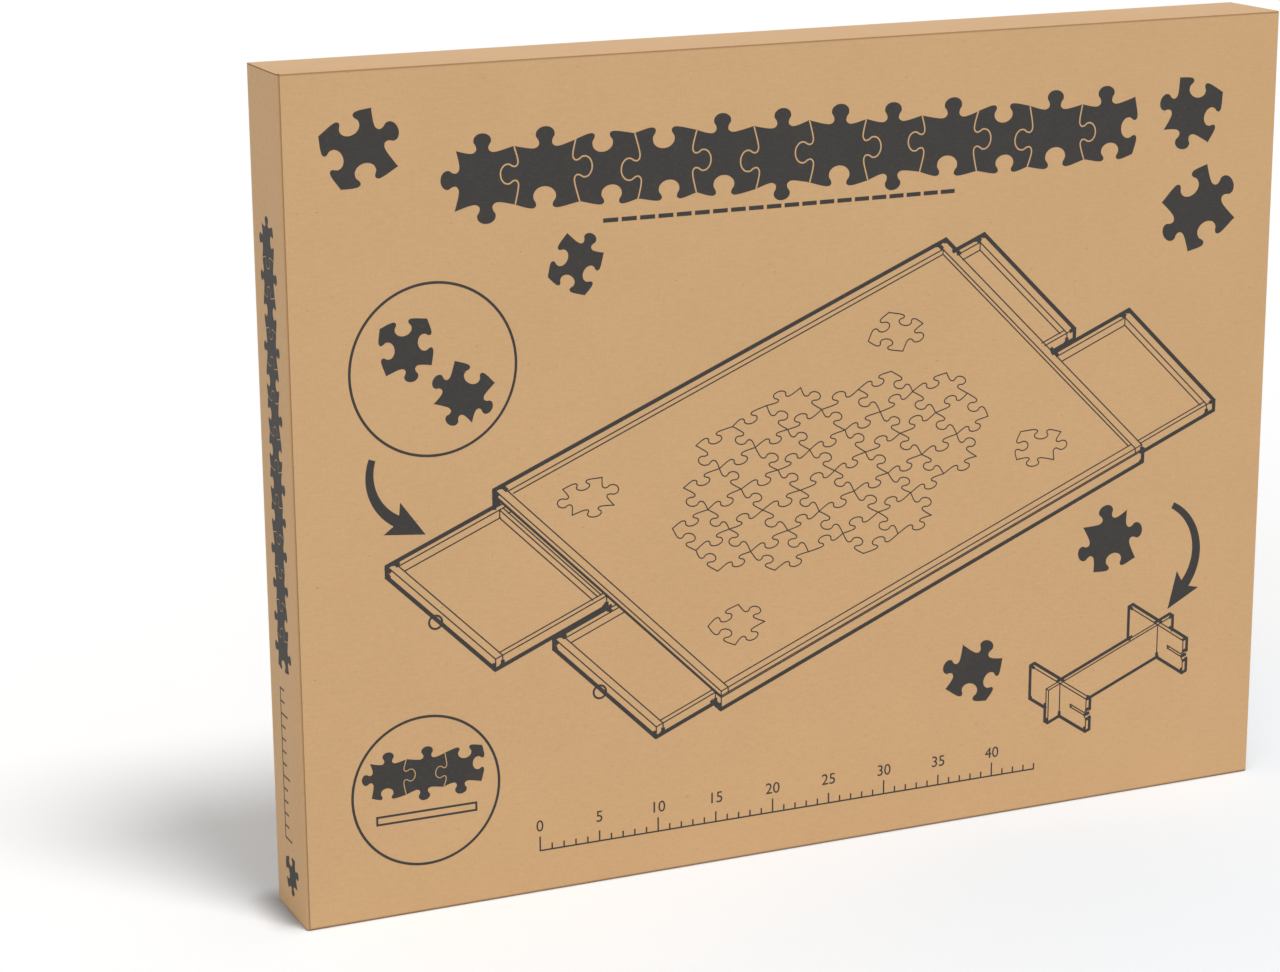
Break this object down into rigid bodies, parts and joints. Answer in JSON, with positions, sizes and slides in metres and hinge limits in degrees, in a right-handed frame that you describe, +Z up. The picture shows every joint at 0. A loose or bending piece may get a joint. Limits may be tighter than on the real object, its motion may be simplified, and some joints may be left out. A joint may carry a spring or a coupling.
{
  "type": "jigsaw puzzle board in its carton",
  "caption": "Tall flat kraft carton with a plug-in end cap, holding a rimmed jigsaw puzzle board with sliding drawers and the parts of a box stand in foam corners.",
  "frame": {"origin": "middle of the face that the carton stands on", "axes": "+X along the carton towards its end cap, +Y from the printed front to the back, +Z up"},
  "size_m": [0.84, 0.071, 0.648],
  "materials": {
    "kraft_corrugated": "matte",
    "white_foam": "matte",
    "pine": "satin",
    "plywood": "satin",
    "hardboard": "matte",
    "turned_beech": "satin",
    "zinc_steel": "satin"
  },
  "bodies": {
    "sleeve": {"front_panel": "kraft_corrugated", "back_panel": "kraft_corrugated", "top_panel": "kraft_corrugated", "bottom_panel": "kraft_corrugated", "left_outer_flap": "kraft_corrugated", "left_inner_flap": "kraft_corrugated", "left_dust_flap_top": "kraft_corrugated", "left_dust_flap_bottom": "kraft_corrugated", "glue_tab": "kraft_corrugated", "left_foam_top": "white_foam", "left_foam_bottom": "white_foam"},
    "end_cap": {"cap_panel": "kraft_corrugated", "cap_flap_front": "kraft_corrugated", "cap_flap_back": "kraft_corrugated", "cap_flap_top": "kraft_corrugated", "cap_flap_bottom": "kraft_corrugated", "right_foam_top": "white_foam", "right_foam_bottom": "white_foam"},
    "board": {"work_panel": "plywood", "rim_left": "pine", "rim_right": "pine", "rim_top": "pine", "rim_bottom": "pine", "apron_top": "pine", "apron_bottom": "pine", "centre_rail": "pine", "upper_stop_rail": "pine", "lower_stop_rail": "pine", "base_panel": "hardboard"},
    "right_upper_drawer": {"right_upper_drawer_front": "pine", "right_upper_drawer_sides": "pine", "right_upper_drawer_back": "pine", "right_upper_drawer_floor": "hardboard", "right_upper_drawer_divider": "pine", "right_upper_drawer_knob": "turned_beech", "right_upper_drawer_knob_screw": "zinc_steel"},
    "right_lower_drawer": {"right_lower_drawer_front": "pine", "right_lower_drawer_sides": "pine", "right_lower_drawer_back": "pine", "right_lower_drawer_floor": "hardboard", "right_lower_drawer_divider": "pine", "right_lower_drawer_knob": "turned_beech", "right_lower_drawer_knob_screw": "zinc_steel", "stand_arm_lower": "plywood", "stand_arm_upper": "plywood", "stand_rail": "plywood"},
    "left_upper_drawer": {"left_upper_drawer_front": "pine", "left_upper_drawer_sides": "pine", "left_upper_drawer_back": "pine", "left_upper_drawer_floor": "hardboard", "left_upper_drawer_divider": "pine", "left_upper_drawer_knob": "turned_beech", "left_upper_drawer_knob_screw": "zinc_steel"},
    "left_lower_drawer": {"left_lower_drawer_front": "pine", "left_lower_drawer_sides": "pine", "left_lower_drawer_back": "pine", "left_lower_drawer_floor": "hardboard", "left_lower_drawer_divider": "pine", "left_lower_drawer_knob": "turned_beech", "left_lower_drawer_knob_screw": "zinc_steel"}
  },
  "joints": [
    {"name": "board_slide", "type": "slide", "parent": "sleeve", "child": "board", "axis": [1, 0, 0], "range_m": [0, 1.25]},
    {"name": "cap_pull", "type": "slide", "parent": "board", "child": "end_cap", "axis": [1, 0, 0], "range_m": [0, 0.4]},
    {"name": "right_upper_drawer_slide", "type": "slide", "parent": "board", "child": "right_upper_drawer", "axis": [1, 0, 0], "range_m": [0, 0.25]},
    {"name": "right_lower_drawer_slide", "type": "slide", "parent": "board", "child": "right_lower_drawer", "axis": [1, 0, 0], "range_m": [0, 0.25]},
    {"name": "left_upper_drawer_slide", "type": "slide", "parent": "board", "child": "left_upper_drawer", "axis": [-1, 0, 0], "range_m": [0, 0.25]},
    {"name": "left_lower_drawer_slide", "type": "slide", "parent": "board", "child": "left_lower_drawer", "axis": [-1, 0, 0], "range_m": [0, 0.25]}
  ],
  "couplings": [
    {"joint": "right_upper_drawer_slide", "follows": "cap_pull", "ratio": 0.625},
    {"joint": "right_lower_drawer_slide", "follows": "cap_pull", "ratio": 0.625},
    {"joint": "left_upper_drawer_slide", "follows": "board_slide", "ratio": 0.2},
    {"joint": "left_lower_drawer_slide", "follows": "board_slide", "ratio": 0.2}
  ]
}
